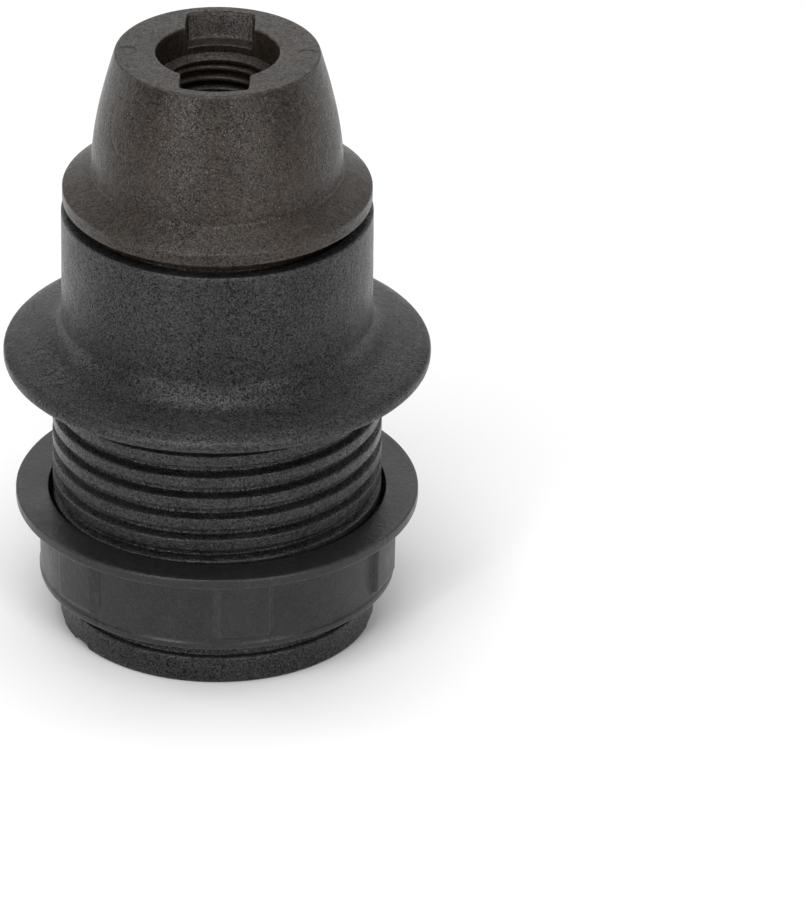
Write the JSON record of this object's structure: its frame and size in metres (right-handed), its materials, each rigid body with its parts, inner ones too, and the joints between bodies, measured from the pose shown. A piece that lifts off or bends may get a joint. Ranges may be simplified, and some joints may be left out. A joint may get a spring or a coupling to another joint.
{
  "type": "e14 lampholder",
  "caption": "Small screw-cap lampholder with a domed threaded-entry cap, an outer sleeve with collar and barrel thread, a shade ring and an insert with sprung contacts and terminals.",
  "frame": {"origin": "centre of the sleeve's open lamp end, on the axis", "axes": "+Z along the axis from the open lamp end to the cap; -Y is the front, where the entry's cross slot runs nearly front to back"},
  "size_m": [0.0362, 0.0362, 0.053],
  "materials": {
    "cap_plastic": "fine spark-eroded grain, brownish charcoal",
    "sleeve_plastic": "fine spark-eroded grain, cool charcoal",
    "ring_plastic": "smooth satin charcoal",
    "insert_plastic": "smooth satin black",
    "shell_metal": "nickel-plated brass sheet",
    "rivet_metal": "nickel-plated",
    "contact_brass": "plain stamped brass",
    "spring_steel": "drawn wire",
    "spring_bronze": "phosphor bronze strip",
    "terminal_brass": "sawn brass",
    "plate_steel": "zinc-plated",
    "screw_steel": "zinc-plated"
  },
  "bodies": {
    "cap": {"cap": "cap_plastic"},
    "insert": {"insert_body": "insert_plastic", "screw_shell": "shell_metal", "shell_rivets": "rivet_metal", "shell_strip": "contact_brass", "centre_strip": "contact_brass", "centre_strip_rivet": "rivet_metal", "live_terminal": "terminal_brass", "neutral_terminal": "terminal_brass", "plunger_spring": "spring_steel"},
    "sleeve": {"sleeve": "sleeve_plastic"},
    "shade_ring": {"shade_ring": "ring_plastic"},
    "plunger": {"centre_plunger": "contact_brass", "plunger_collar": "contact_brass"},
    "side_contact": {"side_contact_spring": "spring_bronze"},
    "live_plate": {"live_clamp_plate": "plate_steel"},
    "live_screw": {"live_terminal_screw": "screw_steel"},
    "neutral_plate": {"neutral_clamp_plate": "plate_steel"},
    "neutral_screw": {"neutral_terminal_screw": "screw_steel"}
  },
  "joints": [
    {"name": "insert_drop", "type": "slide", "parent": "cap", "child": "insert", "axis": [0, 0, -1], "range_m": [0, 0.0053]},
    {"name": "sleeve_unscrew", "type": "hinge", "parent": "insert", "child": "sleeve", "pos_m": [0, 0, 0.0385], "axis": [0, 0, -1], "range_deg": [0, 1260]},
    {"name": "ring_travel", "type": "slide", "parent": "sleeve", "child": "shade_ring", "axis": [0, 0, 1], "range_m": [-0.0042, 0.0124]},
    {"name": "plunger_press", "type": "slide", "parent": "insert", "child": "plunger", "axis": [0, 0, 1], "range_m": [0, 0.001], "stiffness_N_per_m": 2000, "springref_m": -0.001, "deforming": ["plunger_spring"]},
    {"name": "side_contact_flex", "type": "hinge", "parent": "insert", "child": "side_contact", "pos_m": [0.0077, 0, 0.0225], "axis": [0, -1, 0], "range_deg": [0, 2.5], "stiffness_Nm_per_rad": 0.13, "springref_deg": -1.72},
    {"name": "live_plate_travel", "type": "slide", "parent": "insert", "child": "live_plate", "axis": [0, 0, 1], "range_m": [0, 0.0012]},
    {"name": "live_screw_turn", "type": "hinge", "parent": "live_plate", "child": "live_screw", "pos_m": [0.0069, 0, 0.0345], "axis": [0, 0, 1], "range_deg": [0, 871]},
    {"name": "neutral_plate_travel", "type": "slide", "parent": "insert", "child": "neutral_plate", "axis": [0, 0, 1], "range_m": [0, 0.0012]},
    {"name": "neutral_screw_turn", "type": "hinge", "parent": "neutral_plate", "child": "neutral_screw", "pos_m": [-0.0069, 0, 0.0345], "axis": [0, 0, 1], "range_deg": [0, 871]}
  ],
  "couplings": [
    {"joint": "insert_drop", "follows": "sleeve_unscrew", "m_per_rad": 0.00023873},
    {"joint": "live_screw_turn", "follows": "live_plate_travel", "rad_per_m": 12566},
    {"joint": "neutral_screw_turn", "follows": "neutral_plate_travel", "rad_per_m": 12566}
  ]
}
